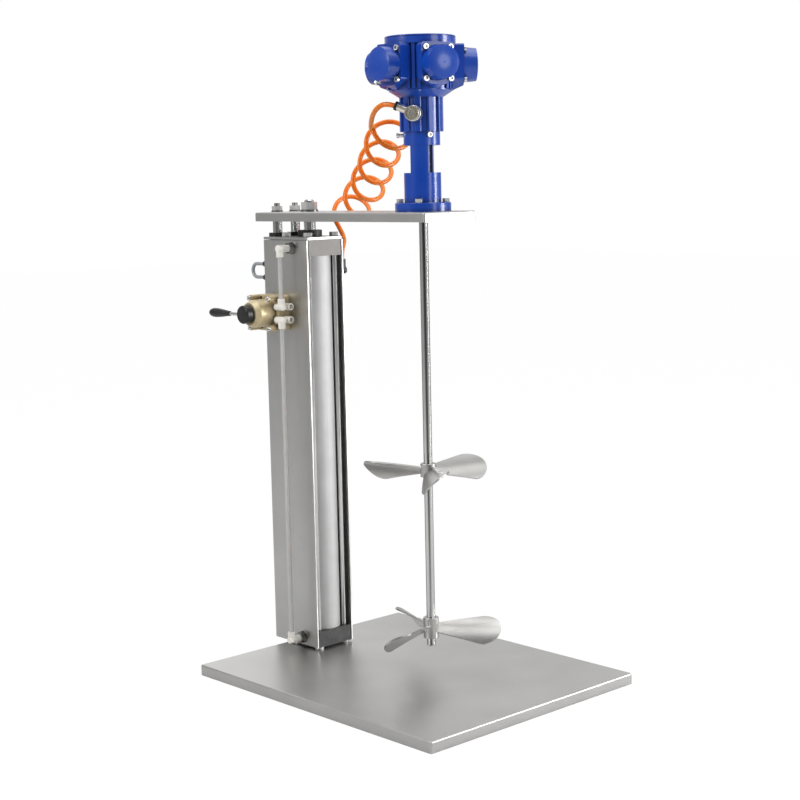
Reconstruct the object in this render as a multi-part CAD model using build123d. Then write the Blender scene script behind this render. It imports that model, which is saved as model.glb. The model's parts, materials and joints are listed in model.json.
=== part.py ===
"""Pneumatic lift tank agitator: folded base, lifting cylinder in a column, arm, air motor, propellers.

Millimetres, +Z up. The origin is the centre of the base's underside. +X points from the column
towards the agitator shaft. The lift is modelled at its lower stop.
"""
import math
import os

from build123d import *

# ---- driving dimensions -------------------------------------------------------------------
# base tray
base_length = 554.0
base_width = 453.0
base_height = 18.0
base_sheet = 3.0
base_edge_radius = 3.0
stiffener_width = 38.0
stiffener_sheet = 2.0
stiffener_spacing = 150.0

# lifting cylinder, square caps and tie rods
cylinder_setback = 231.0
cap_size = 75.0
cap_thickness = 27.5
cap_edge_radius = 3.0
stroke = 600.0
cylinder_dead_length = 42.0
tube_outer = 68.0
tube_bore = 63.0
tie_rod_pitch = 56.5
tie_rod_diameter = 8.0
tie_rod_end = 14.0
piston_thickness = 25.0
piston_clearance = 0.1
piston_seal_width = 3.0
piston_start_gap = 0.5
rod_diameter = 20.0
boss_diameter = 40.0
boss_height = 15.0
running_clearance = 0.05
foot_spacer_height = 4.0
foot_spacer_diameter = 16.0

# column shell and top plate
column_depth = 116.0
column_sheet = 2.0
column_front_lip = 0.3
column_bend_radius = 3.0
column_top_gap = 1.0
plate_thickness = 4.5
plate_edge_radius = 1.0
plate_hole_clearance = 0.2

# bolts of the top plate and of the foot
m8_head = 13.0
m8_head_height = 7.0
m8_shank = 8.0

# guide rods beside the cylinder rod
guide_setback = 62.0
guide_pitch = 39.2
guide_diameter = 16.0
guide_bottom = 45.0
guide_bush_outer = 26.0
guide_bush_length = 56.0
guide_bush_collar = 30.0
guide_bush_collar_height = 6.5
end_chamfer = 1.5
stud_diameter = 10.0
stud_nut = 16.0
stud_nut_height = 8.0
stud_washer = 20.0
stud_washer_height = 2.0
stud_end = 5.0

# arm tray on the rods
lift_gap = 26.5
arm_rear = 78.0
arm_reach = 277.0
arm_front = 60.0
arm_width = 111.6
arm_height = 15.0
arm_sheet = 3.0
arm_edge_radius = 3.0
rod_thread = 16.0
rod_nut = 24.0
rod_nut_height = 13.0
rod_washer = 30.0
rod_washer_height = 3.0
rod_thread_end = 4.0

# motor stand with open windows
stand_flange_diameter = 88.0
stand_flange_height = 14.0
stand_flange_chamfer = 1.0
stand_lower_diameter = 58.0
stand_lower_height = 46.0
stand_window_height = 42.0
stand_upper_diameter = 57.0
stand_upper_height = 21.0
stand_pillar_width = 28.0
stand_pillar_inner = 20.0
stand_spigot_bore = 44.0
stand_angle = -54.0
flange_bolt_circle = 73.0
flange_bolt_hole = 6.6
m6_head = 10.0
m6_head_height = 6.0
bearing_outer = 30.0
bearing_height = 12.0
bearing_lift = 8.0
clamp_screw_diameter = 6.0
clamp_screw_head = 8.0
clamp_screw_head_height = 4.0
clamp_screw_socket = 2.6
clamp_screw_turns = {-81.0: 7.0, 34.0: 0.5, 154.0: 0.5}

# air motor, five radial cylinders
neck_core_diameter = 60.0
neck_height = 52.0
neck_rib_count = 10
neck_rib_width = 11.0
neck_rib_reach = 34.0
flare_height = 12.0
flare_radius = 53.0
skirt_radius = 82.0
skirt_rise = 12.0
crankcase_diameter = 100.0
head_count = 5
head_first_angle = -19.7
head_axis_height = 101.0
head_block_width = 54.0
head_block_half_height = 31.0
head_block_point = 8.0
head_block_reach = 65.0
head_block_round = 4.0
head_bolt_socket = 2.5
head_cap_diameter = 50.0
head_cap_length = 21.0
head_cap_dome = 3.0
head_cap_draft = 2.0
head_cap_round = 1.8
head_bolt_spacing = 41.0
head_bolt_rise = 47.0
m5_head = 8.5
m5_head_height = 4.0
cover_diameter = 110.0
cover_height = 13.0
cover_lip = 2.0
cover_groove = 1.2
cover_edge_radius = 1.5
crankcase_rib_width = 5.0
crankcase_rib_reach = 53.0
crankcase_rib_turns = (-9.0, 0.0, 9.0)

# agitator shaft and propellers
shaft_diameter = 14.0
shaft_bottom = 67.0
spindle_top_inset = 20.0
coupling_diameter = 24.0
coupling_length = 34.0
hub_diameter = 25.0
upper_hub_height = 22.0
lower_hub_height = 34.0
upper_hub_bottom = 344.0
lower_hub_bottom = 80.0
propeller_radius = 113.0
blade_width = 54.0
blade_root_width = 20.0
blade_thickness = 2.5
blade_camber_radius = 62.0
blade_pitch = 39.0
blade_count = 3
upper_propeller_angle = -39.0
lower_propeller_angle = 39.0
set_screw_diameter = 6.0

# rotary lever valve on the side of the column
valve_offset = -40.0
valve_height = 597.0
valve_flange = 61.0
valve_flange_thickness = 26.5
valve_flange_corner = 8.0
valve_body_diameter = 47.0
valve_body_length = 30.0
valve_bonnet_length = 8.5
valve_bonnet_front = 38.0
valve_cavity_diameter = 34.0
valve_cavity_depth = 14.0
valve_stem_diameter = 10.0
valve_rotor_gap = 2.2
valve_screw_spacing = 50.0
valve_boss_diameter = 10.0
valve_boss_length = 16.0
valve_mount_hole = 6.0
valve_mount_spread = 30.0
valve_mount_sunk = 5.0
valve_mount_clearance = 0.1
knob_diameter = 30.6
knob_gap = 0.3
knob_length = 14.5
lever_bar_diameter = 6.0
lever_bar_length = 60.0
lock_screw_diameter = 4.4
lock_screw_length = 7.0
lock_screw_stand_off = 3.0
grip_start = 42.0
grip_length = 56.0
grip_diameter = 15.5

# push-in fittings and tubes
port_spread = 22.0
port_near = 14.0
port_far = 29.0
fitting_diameter = 12.0
fitting_reach = 17.0
fitting_insert = 4.0
fitting_round = 1.5
socket_diameter = 12.5
socket_length = 14.0
tube_diameter = 8.0
tube_insert = 9.0
elbow_nut = 17.0
elbow_nut_height = 8.0
elbow_washer = 21.0
elbow_washer_height = 2.0
port_thread = 12.0
loop_height = 665.0
loop_offset = -30.0
loop_spacing = 23.0
loop_reach = 42.0
loop_tube_diameter = 6.0
loop_fitting_diameter = 10.0
loop_fitting_length = 9.0

# motor inlet and its coiled hose
inlet_angle = -59.5
inlet_height = 27.0
inlet_diameter = 25.0
inlet_length = 14.0
inlet_hex = 19.0
inlet_hex_height = 5.0
inlet_arm_diameter = 12.0
inlet_arm_length = 28.0
inlet_arm_rise = 23.0
release_ring_diameter = 14.0
release_ring_length = 4.0
hose_diameter = 8.0
hose_coil_diameter = 66.0
hose_socket_x = -215.0
hose_socket_stand_off = 16.5
hose_socket_bottom = 664.0
hose_socket_length = 19.0
hose_socket_clearance = 0.1

# ---- worked-out places --------------------------------------------------------------------
cylinder_x = -cylinder_setback
shaft_x = cylinder_x + arm_reach
cylinder_bottom = base_height + foot_spacer_height
tube_length = stroke + cylinder_dead_length
tube_bottom = cylinder_bottom + cap_thickness
front_cap_bottom = tube_bottom + tube_length
cylinder_top = front_cap_bottom + cap_thickness
column_width = cap_size + 2 * column_sheet
column_front = cylinder_x + cap_size / 2 + column_front_lip
column_rear = column_front - column_depth
column_height = cylinder_top - column_top_gap - cylinder_bottom
plate_top = cylinder_top + plate_thickness
arm_bottom = plate_top + lift_gap
arm_top = arm_bottom + arm_height
arm_seat = arm_top - arm_sheet
guide_x = cylinder_x - guide_setback
stand_top = arm_top + stand_flange_height + stand_lower_height + stand_window_height + stand_upper_height
neck_top = stand_top + neck_height
head_axis = stand_top + head_axis_height
cover_bottom = head_axis + head_block_half_height
valve_x = cylinder_x + valve_offset
valve_face = -column_width / 2
window_bottom = arm_top + stand_flange_height + stand_lower_height
window_middle = window_bottom + stand_window_height / 2
quarter_signs = ((1, 1), (1, -1), (-1, 1), (-1, -1))

parts = {}


# ---- helpers ------------------------------------------------------------------------------
def rod(x, y, z, diameter, height):
    """Upright round bar standing on z."""
    return Pos(x, y, z) * Cylinder(diameter / 2, height, align=(Align.CENTER, Align.CENTER, Align.MIN))


def ring(x, y, z, outer, inner, height):
    """Upright tube standing on z."""
    return rod(x, y, z, outer, height) - rod(x, y, z, inner, height)


def hexagon(x, y, z, across_flats, height):
    """Upright hexagonal prism with its top corners broken."""
    corner = across_flats / math.sqrt(3)
    prism = Pos(x, y, z) * extrude(RegularPolygon(corner, 6), height)
    cone = Pos(x, y, z) * Cone(
        corner + height * 0.6, across_flats * 0.47, height * 1.35,
        align=(Align.CENTER, Align.CENTER, Align.MIN))
    return prism & cone


def nut(x, y, z, across_flats, bore, height):
    return hexagon(x, y, z, across_flats, height) - rod(x, y, z, bore, height)


def bolt(x, y, z, shank, length, head, head_height):
    """Hexagon bolt with its head standing on z and its shank pointing down."""
    return hexagon(x, y, z, head, head_height) + rod(x, y, z - length, shank, length)


def tray(length, width, height, sheet, edge):
    """Inverted folded tray, open below, with rounded top edges and corners."""
    block = Box(length, width, height, align=(Align.CENTER, Align.CENTER, Align.MIN))
    block = fillet(block.edges().filter_by(Axis.Z), edge)
    block = fillet(block.faces().sort_by(Axis.Z)[-1].edges(), edge * 0.9)
    inside = Box(length - 2 * sheet, width - 2 * sheet, height - sheet,
                 align=(Align.CENTER, Align.CENTER, Align.MIN))
    return block - inside


def radial(angle, distance, z, centre_x=0.0):
    """Location on a circle round an upright axis, with Z pointing outwards and Y upright."""
    turn = math.radians(angle)
    out = Vector(math.cos(turn), math.sin(turn), 0)
    side = Vector(-math.sin(turn), math.cos(turn), 0)
    origin = Vector(centre_x, 0, z) + out * distance
    return Plane(origin=origin, x_dir=side, z_dir=out).location


def sweep_round(points, diameter, share=0.45):
    """Round bar along straight runs joined by tangent arcs; returns the solid."""
    spots = [Vector(*point) for point in points]
    radii = []
    for before, here, after in zip(spots, spots[1:], spots[2:]):
        turn = math.radians((here - before).get_angle(after - here))
        shorter = min((here - before).length, (after - here).length)
        radii.append(share * shorter / math.tan(turn / 2))
    path = FilletPolyline(*spots, radius=radii)
    start = Plane(origin=path @ 0, z_dir=path % 0)
    return sweep(start * Circle(diameter / 2), path)


# ---- base and column ----------------------------------------------------------------------
def make_base():
    spots = [(cylinder_x + sx * tie_rod_pitch / 2, sy * tie_rod_pitch / 2) for sx, sy in quarter_signs]
    base = tray(base_length, base_width, base_height, base_sheet, base_edge_radius)
    spacers = []
    bolts = []
    for x, y in spots:
        base -= rod(x, y, 0, m8_shank + plate_hole_clearance, base_height)
        spacers.append(ring(x, y, base_height, foot_spacer_diameter, m8_shank, foot_spacer_height))
        under = base_height - base_sheet
        length = base_sheet + foot_spacer_height + tie_rod_end - 1
        screw = Pos(0, 0, under) * Rot(180, 0, 0) * hexagon(0, 0, 0, m8_head, m8_head_height)
        screw = Pos(x, y, 0) * screw + rod(x, y, under, m8_shank, length)
        bolts.append(screw)
    rails = []
    rail_height = base_height - base_sheet
    for k in (-1, 0, 1):
        rail = Box(base_length - 2 * base_sheet, stiffener_width, rail_height,
                   align=(Align.CENTER, Align.CENTER, Align.MIN))
        hollow = Pos(0, 0, stiffener_sheet) * Box(
            base_length, stiffener_width - 2 * stiffener_sheet, rail_height - 2 * stiffener_sheet,
            align=(Align.CENTER, Align.CENTER, Align.MIN))
        rails.append(Pos(0, k * stiffener_spacing, 0) * (rail - hollow))
    parts["base_tray"] = base
    parts["base_stiffeners"] = Compound(rails)
    parts["foot_spacers"] = Compound(spacers)
    parts["foot_bolts"] = Compound(bolts)


def make_column():
    middle_x = (column_front + column_rear) / 2
    shell = Pos(middle_x, 0, cylinder_bottom) * Box(
        column_depth, column_width, column_height, align=(Align.CENTER, Align.CENTER, Align.MIN))
    rear_edges = shell.edges().filter_by(Axis.Z).sort_by(Axis.X)[:2]
    shell = fillet(rear_edges, column_bend_radius)
    inside = Pos(middle_x + column_sheet, 0, cylinder_bottom) * Box(
        column_depth, cap_size, column_height, align=(Align.CENTER, Align.CENTER, Align.MIN))
    shell -= inside
    for z in (cylinder_bottom + cap_thickness / 2, front_cap_bottom + cap_thickness / 2):
        hole = Pos(cylinder_x, -column_width / 2, z) * Rot(90, 0, 0) * Cylinder(
            port_thread / 2 + plate_hole_clearance / 2, 3 * column_sheet)
        shell -= hole
    hose_hole = Pos(hose_socket_x, column_width / 2, hose_socket_bottom) * Rot(90, 0, 0) * Cylinder(
        port_thread / 2 + plate_hole_clearance / 2, 3 * column_sheet)
    shell -= hose_hole
    for side in (1, -1):
        shell -= Pos(column_rear, loop_offset, loop_height + side * loop_spacing / 2) * Rot(0, 90, 0) * Cylinder(
            loop_tube_diameter / 2 + plate_hole_clearance, 3 * column_sheet)
    parts["column_shell"] = shell

    plate = Pos(middle_x, 0, cylinder_top) * Box(
        column_depth, column_width, plate_thickness, align=(Align.CENTER, Align.CENTER, Align.MIN))
    plate = fillet(plate.edges().filter_by(Axis.Z), column_bend_radius)
    plate = fillet(plate.faces().sort_by(Axis.Z)[-1].edges(), plate_edge_radius)
    plate -= rod(cylinder_x, 0, cylinder_top, boss_diameter + plate_hole_clearance, plate_thickness)
    bolts = []
    for sx, sy in quarter_signs:
        x = cylinder_x + sx * tie_rod_pitch / 2
        y = sy * tie_rod_pitch / 2
        plate -= rod(x, y, cylinder_top, m8_shank + plate_hole_clearance, plate_thickness)
        head = bolt(x, y, plate_top, m8_shank, plate_thickness + tie_rod_end - 1, m8_head, m8_head_height)
        bolts.append(head)
    for side in (1, -1):
        y = side * guide_pitch / 2
        plate -= rod(guide_x, y, cylinder_top, guide_bush_outer, plate_thickness)
    parts["column_top_plate"] = plate
    parts["plate_bolts"] = Compound(bolts)


# ---- lifting cylinder ---------------------------------------------------------------------
def cylinder_cap(bottom):
    cap = Pos(cylinder_x, 0, bottom) * Box(
        cap_size, cap_size, cap_thickness, align=(Align.CENTER, Align.CENTER, Align.MIN))
    cap = fillet(cap.edges().filter_by(Axis.Z), cap_edge_radius)
    for sx, sy in quarter_signs:
        cap -= rod(cylinder_x + sx * tie_rod_pitch / 2, sy * tie_rod_pitch / 2, bottom,
                   tie_rod_diameter, cap_thickness)
    port = Pos(cylinder_x, -cap_size / 2, bottom + cap_thickness / 2) * Rot(90, 0, 0) * Cylinder(
        port_thread / 2, 2 * elbow_nut_height)
    return cap - port


def make_cylinder():
    parts["cylinder_rear_cap"] = cylinder_cap(cylinder_bottom)
    front = cylinder_cap(front_cap_bottom) + rod(cylinder_x, 0, cylinder_top, boss_diameter, boss_height)
    front -= rod(cylinder_x, 0, front_cap_bottom, rod_diameter + 2 * running_clearance,
                 cap_thickness + boss_height)
    parts["cylinder_front_cap"] = front
    parts["cylinder_tube"] = ring(cylinder_x, 0, tube_bottom, tube_outer, tube_bore, tube_length)

    length = tube_length + 2 * (cap_thickness - tie_rod_end)
    ties = [rod(cylinder_x + sx * tie_rod_pitch / 2, sy * tie_rod_pitch / 2,
                cylinder_bottom + tie_rod_end, tie_rod_diameter, length) for sx, sy in quarter_signs]
    parts["tie_rods"] = Compound(ties)

    piston_bottom = tube_bottom + piston_start_gap
    piston = rod(cylinder_x, 0, piston_bottom, tube_bore - 2 * piston_clearance, piston_thickness)
    seals = []
    for z in (piston_bottom + piston_thickness / 4, piston_bottom + 3 * piston_thickness / 4):
        outer = tube_bore - 2 * piston_clearance
        seal = ring(cylinder_x, 0, z - piston_seal_width / 2, outer, outer - 2 * piston_seal_width,
                    piston_seal_width)
        seals.append(seal)
        piston -= seal
    parts["piston"] = piston - rod(cylinder_x, 0, piston_bottom, rod_thread, piston_thickness)
    parts["piston_seals"] = Compound(seals)

    piston_top = piston_bottom + piston_thickness
    bar = rod(cylinder_x, 0, piston_top, rod_diameter, arm_seat - piston_top)
    bar += rod(cylinder_x, 0, piston_bottom, rod_thread, piston_thickness)
    thread = arm_sheet + rod_washer_height + rod_nut_height + rod_thread_end
    end = Pos(cylinder_x, 0, arm_seat) * Cylinder(
        rod_thread / 2, thread, align=(Align.CENTER, Align.CENTER, Align.MIN))
    end = chamfer(end.edges().sort_by(Axis.Z)[-1], end_chamfer)
    parts["piston_rod"] = bar + end


def make_guides():
    rods = []
    bushes = []
    nuts = [nut(cylinder_x, 0, arm_top + rod_washer_height, rod_nut, rod_thread, rod_nut_height)]
    washers = [ring(cylinder_x, 0, arm_top, rod_washer, rod_thread, rod_washer_height)]
    for side in (1, -1):
        y = side * guide_pitch / 2
        bar = rod(guide_x, y, guide_bottom, guide_diameter, arm_seat - guide_bottom)
        stud = arm_sheet + stud_washer_height + stud_nut_height + stud_end
        bar += rod(guide_x, y, arm_seat, stud_diameter, stud)
        rods.append(chamfer(bar.edges().sort_by(Axis.Z)[0], end_chamfer))
        bore = guide_diameter + 2 * running_clearance
        body_bottom = plate_top - guide_bush_length
        bush = ring(guide_x, y, body_bottom, guide_bush_outer, bore, guide_bush_length)
        bush += ring(guide_x, y, plate_top, guide_bush_collar, bore, guide_bush_collar_height)
        bushes.append(bush)
        washers.append(ring(guide_x, y, arm_top, stud_washer, stud_diameter, stud_washer_height))
        nuts.append(nut(guide_x, y, arm_top + stud_washer_height, stud_nut, stud_diameter, stud_nut_height))
    parts["guide_rods"] = Compound(rods)
    parts["guide_bushes"] = Compound(bushes)
    parts["arm_washers"] = Compound(washers)
    parts["arm_nuts"] = Compound(nuts)


# ---- arm and motor stand ------------------------------------------------------------------
def flange_spots():
    return [(shaft_x + flange_bolt_circle / 2 * math.cos(math.radians(stand_angle + 90 * k)),
             flange_bolt_circle / 2 * math.sin(math.radians(stand_angle + 90 * k))) for k in range(4)]


def make_arm():
    length = arm_rear + arm_reach + arm_front
    middle_x = cylinder_x - arm_rear + length / 2
    arm = Pos(middle_x, 0, arm_bottom) * tray(length, arm_width, arm_height, arm_sheet, arm_edge_radius)
    arm -= rod(cylinder_x, 0, arm_seat, rod_thread + plate_hole_clearance, arm_sheet)
    arm -= rod(shaft_x, 0, arm_seat, bearing_outer, arm_sheet)
    for side in (1, -1):
        arm -= rod(guide_x, side * guide_pitch / 2, arm_seat, stud_diameter + plate_hole_clearance, arm_sheet)
    for x, y in flange_spots():
        arm -= rod(x, y, arm_seat, flange_bolt_hole, arm_sheet)
    parts["arm_tray"] = arm


def make_stand():
    lower_bottom = arm_top + stand_flange_height
    body = rod(shaft_x, 0, arm_top, stand_flange_diameter, stand_flange_height)
    body = chamfer(body.edges().sort_by(Axis.Z)[-1], stand_flange_chamfer)
    body += rod(shaft_x, 0, lower_bottom, stand_lower_diameter, stand_lower_height)
    pillar_ring = ring(0, 0, window_bottom, stand_lower_diameter, 2 * stand_pillar_inner, stand_window_height)
    slab = Pos(0, 0, window_bottom) * Box(stand_lower_diameter, stand_pillar_width, stand_window_height,
                                          align=(Align.CENTER, Align.CENTER, Align.MIN))
    body += Pos(shaft_x, 0, 0) * Rot(0, 0, stand_angle) * (pillar_ring & slab)
    upper_bottom = window_bottom + stand_window_height
    body += rod(shaft_x, 0, upper_bottom, stand_upper_diameter, stand_upper_height)
    body -= rod(shaft_x, 0, arm_top, bearing_outer, upper_bottom - arm_top)
    body -= rod(shaft_x, 0, upper_bottom, stand_spigot_bore, stand_upper_height)
    screws = []
    for x, y in flange_spots():
        body -= rod(x, y, arm_top, flange_bolt_hole, stand_flange_height)
        grip = stand_flange_height + arm_sheet
        spot_screw = bolt(x, y, lower_bottom, m6_head * 0.6, grip, m6_head, m6_head_height)
        spot_nut = Pos(0, 0, arm_seat) * Rot(180, 0, 0) * nut(0, 0, 0, m6_head, m6_head * 0.6, m6_head * 0.5)
        screws.append(spot_screw)
        screws.append(Pos(x, y, 0) * spot_nut + rod(x, y, arm_seat - 6, m6_head * 0.6, 6))
    clamp = []
    for turn, out in clamp_screw_turns.items():
        place = radial(stand_angle + turn, 0, upper_bottom + stand_upper_height * 0.75, shaft_x)
        reach = stand_upper_diameter / 2
        hole = place * Pos(0, 0, stand_spigot_bore / 2 - 3) * Cylinder(
            clamp_screw_diameter / 2, reach, align=(Align.CENTER, Align.CENTER, Align.MIN))
        body -= hole
        shank = reach - stand_spigot_bore / 2 + out
        screw = place * Pos(0, 0, stand_spigot_bore / 2) * Cylinder(
            clamp_screw_diameter / 2, shank, align=(Align.CENTER, Align.CENTER, Align.MIN))
        head = place * Pos(0, 0, reach + out) * Cylinder(
            clamp_screw_head / 2, clamp_screw_head_height, align=(Align.CENTER, Align.CENTER, Align.MIN))
        socket = place * Pos(0, 0, reach + out + clamp_screw_head_height / 2) * extrude(
            RegularPolygon(clamp_screw_socket, 6), clamp_screw_head_height)
        clamp.append(screw + head - socket)
    parts["motor_stand"] = body
    parts["flange_bolts"] = Compound(screws)
    parts["clamp_screws"] = Compound(clamp)
    race_bottom = arm_top + bearing_lift
    parts["shaft_bearing"] = ring(shaft_x, 0, race_bottom, bearing_outer,
                                  shaft_diameter + 2 * running_clearance, bearing_height)


# ---- air motor ----------------------------------------------------------------------------
def head_angles():
    return [head_first_angle + 360.0 / head_count * k for k in range(head_count)]


def head_outline():
    """Side profile of a head block: square top corners and a shallow point below."""
    half = head_block_width / 2
    drop = head_block_half_height - head_block_point
    return Polyline(
        (-half, -drop), (-half, head_block_half_height), (half, head_block_half_height),
        (half, -drop), (0, -head_block_half_height - head_block_point), close=True)


def head_cap():
    """Round cap with a slight draft, a broken rim and a shallow dome, standing on z = 0."""
    base_radius = head_cap_diameter / 2 + head_cap_draft
    height = head_cap_length + head_cap_dome
    cap = Cone(base_radius, head_cap_diameter / 2, height, align=(Align.CENTER, Align.CENTER, Align.MIN))
    cap = chamfer(cap.edges().sort_by(Axis.Z)[-1], head_cap_round)
    rim = head_cap_diameter / 2
    dome_radius = (rim**2 + head_cap_dome**2) / (2 * head_cap_dome)
    return cap & Pos(0, 0, height - dome_radius) * Sphere(dome_radius)


def neck_bore(bottom, top):
    """Running bore for the spindle between two levels."""
    return rod(shaft_x, 0, bottom, shaft_diameter + 2 * running_clearance, top - bottom)


def make_neck():
    neck = rod(shaft_x, 0, stand_top, neck_core_diameter, neck_height)
    rib = Box(2 * neck_rib_reach, neck_rib_width, neck_height, align=(Align.CENTER, Align.CENTER, Align.MIN))
    rib = fillet(rib.edges().filter_by(Axis.Z), neck_rib_width * 0.25)
    for k in range(neck_rib_count // 2):
        turn = stand_angle + 360.0 / neck_rib_count * k
        neck += Pos(shaft_x, 0, stand_top) * Rot(0, 0, turn) * rib
    spigot_bottom = stand_top - stand_upper_height + 1
    neck += rod(shaft_x, 0, spigot_bottom, stand_spigot_bore - plate_hole_clearance, stand_upper_height)
    inlet_seat = radial(inlet_angle, 0, stand_top + inlet_height, shaft_x)
    neck += inlet_seat * Cylinder(inlet_diameter / 2 - 2, neck_rib_reach + 1,
                                  align=(Align.CENTER, Align.CENTER, Align.MIN))
    parts["motor_neck"] = neck - neck_bore(spigot_bottom, neck_top)


def make_housing():
    """Crankcase with its five head blocks, trimmed below by a skirt that rises outwards."""
    core_bottom = neck_top + flare_height
    housing = rod(shaft_x, 0, neck_top, crankcase_diameter, cover_bottom - neck_top)
    block = extrude(make_face(head_outline()), head_block_reach)
    block = fillet(block.edges().filter_by(Axis.Z), head_block_round)
    rib = Box(crankcase_rib_reach, crankcase_rib_width, cover_bottom - core_bottom,
              align=(Align.MIN, Align.CENTER, Align.MIN))
    for turn in head_angles():
        housing += radial(turn, 0, head_axis, shaft_x) * block
        for offset in crankcase_rib_turns:
            mid_turn = turn + 180.0 / head_count + offset
            housing += Pos(shaft_x, 0, core_bottom) * Rot(0, 0, mid_turn) * rib
    outline = Polyline(
        (0, neck_top), (neck_rib_reach, neck_top), (flare_radius, core_bottom),
        (skirt_radius, core_bottom + skirt_rise), (skirt_radius, cover_bottom), (0, cover_bottom), close=True)
    envelope = revolve(Plane.XZ * make_face(outline), Axis.Z)
    housing &= Pos(shaft_x, 0, 0) * envelope
    parts["motor_housing"] = housing - neck_bore(neck_top, cover_bottom - spindle_top_inset)


def make_heads():
    bolts = []
    for number, turn in enumerate(head_angles(), start=1):
        seat = radial(turn, head_block_reach, head_axis, shaft_x)
        parts[f"cylinder_head_{number}"] = seat * head_cap()
        for sx, sy in quarter_signs:
            place = seat * Pos(sx * head_bolt_spacing / 2, sy * head_bolt_rise / 2, 0)
            screw = place * Cylinder(m5_head / 2, m5_head_height, align=(Align.CENTER, Align.CENTER, Align.MIN))
            socket = place * Pos(0, 0, m5_head_height / 2) * extrude(
                RegularPolygon(head_bolt_socket, 6), m5_head_height)
            bolts.append(screw - socket)
    parts["head_bolts"] = Compound(bolts)


def make_cover():
    cover = rod(shaft_x, 0, cover_bottom, cover_diameter, cover_height)
    cover = fillet(cover.edges().sort_by(Axis.Z)[-1], cover_edge_radius)
    groove = ring(shaft_x, 0, cover_bottom + cover_height - cover_lip - cover_groove,
                  cover_diameter, cover_diameter - 2 * cover_groove, cover_groove)
    parts["motor_top_cover"] = cover - groove


def make_agitator():
    spindle_top = cover_bottom - spindle_top_inset
    parts["motor_spindle"] = rod(shaft_x, 0, window_middle, shaft_diameter, spindle_top - window_middle)
    shaft = rod(shaft_x, 0, shaft_bottom, shaft_diameter, window_middle - shaft_bottom)
    parts["agitator_shaft"] = chamfer(shaft.edges().sort_by(Axis.Z)[0], end_chamfer)
    sleeve_bottom = window_middle - coupling_length / 2
    sleeve = ring(shaft_x, 0, sleeve_bottom, coupling_diameter, shaft_diameter, coupling_length)
    screws = []
    for z in (window_middle - coupling_length / 4, window_middle + coupling_length / 4):
        place = radial(stand_angle + 90, 0, z, shaft_x)
        depth = (coupling_diameter - shaft_diameter) / 2
        screw = place * Pos(0, 0, shaft_diameter / 2) * Cylinder(
            set_screw_diameter / 2, depth - 0.5, align=(Align.CENTER, Align.CENTER, Align.MIN))
        sleeve -= place * Pos(0, 0, shaft_diameter / 2 - 1) * Cylinder(
            set_screw_diameter / 2, depth + 2, align=(Align.CENTER, Align.CENTER, Align.MIN))
        screws.append(screw - rod(shaft_x, 0, z - 10, shaft_diameter, 20))
    parts["shaft_coupling"] = sleeve

    for name, bottom, height, angle in (
            ("upper_propeller", upper_hub_bottom, upper_hub_height, upper_propeller_angle),
            ("lower_propeller", lower_hub_bottom, lower_hub_height, lower_propeller_angle)):
        hub = rod(0, 0, 0, hub_diameter, height)
        hub = fillet(hub.edges().filter_by(GeomType.CIRCLE), 1.2)
        middle = height / 2
        for k in range(blade_count):
            hub += Pos(0, 0, middle) * Rot(0, 0, 360.0 / blade_count * k) * propeller_blade()
        hub -= rod(0, 0, 0, shaft_diameter, height)
        screw_turn = 60.0
        place = Rot(0, 0, screw_turn) * Pos(0, 0, middle) * Rot(0, 90, 0)
        hub -= place * Pos(0, 0, shaft_diameter / 2 - 1) * Cylinder(
            set_screw_diameter / 2, hub_diameter, align=(Align.CENTER, Align.CENTER, Align.MIN))
        depth = (hub_diameter - shaft_diameter) / 2
        grub = place * Pos(0, 0, shaft_diameter / 2) * Cylinder(
            set_screw_diameter / 2, depth + 1, align=(Align.CENTER, Align.CENTER, Align.MIN))
        grub -= rod(0, 0, 0, shaft_diameter, height)
        grub -= place * Pos(0, 0, hub_diameter / 2 - 1) * extrude(RegularPolygon(1.8, 6), 3)
        spot = Pos(shaft_x, 0, bottom) * Rot(0, 0, angle)
        parts[name] = spot * hub
        screws.append(spot * grub)
    parts["set_screws"] = Compound(screws)


def propeller_blade():
    """Thin cambered spoon of a blade along +X, pitched about its own length."""
    tip_centre = propeller_radius - blade_width / 2
    root_centre = shaft_diameter / 2 + blade_root_width / 2 - 3
    outline = make_hull((Pos(tip_centre, 0) * Circle(blade_width / 2)).edges()
                        + (Pos(root_centre, 0) * Circle(blade_root_width / 2)).edges())
    prism = extrude(outline, blade_width / 2, both=True)
    outer = Cylinder(blade_camber_radius, 2.2 * propeller_radius)
    inner = Cylinder(blade_camber_radius - blade_thickness, 2.2 * propeller_radius)
    shell = Pos(0, 0, -blade_camber_radius + blade_thickness / 2) * Rot(0, 90, 0) * (outer - inner)
    upper = Box(3 * propeller_radius, 2 * blade_width, 2 * blade_camber_radius * 0.6)
    return Rot(blade_pitch, 0, 0) * (prism & shell & upper)


# ---- lever valve --------------------------------------------------------------------------
def facing(x, y, z):
    """Location on the column's side with Z pointing away from it, X along the column's depth."""
    return Plane(origin=(x, y, z), x_dir=(1, 0, 0), z_dir=(0, -1, 0)).location


def disc(diameter, height, start=0.0):
    return Pos(0, 0, start) * Cylinder(diameter / 2, height, align=(Align.CENTER, Align.CENTER, Align.MIN))


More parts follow.
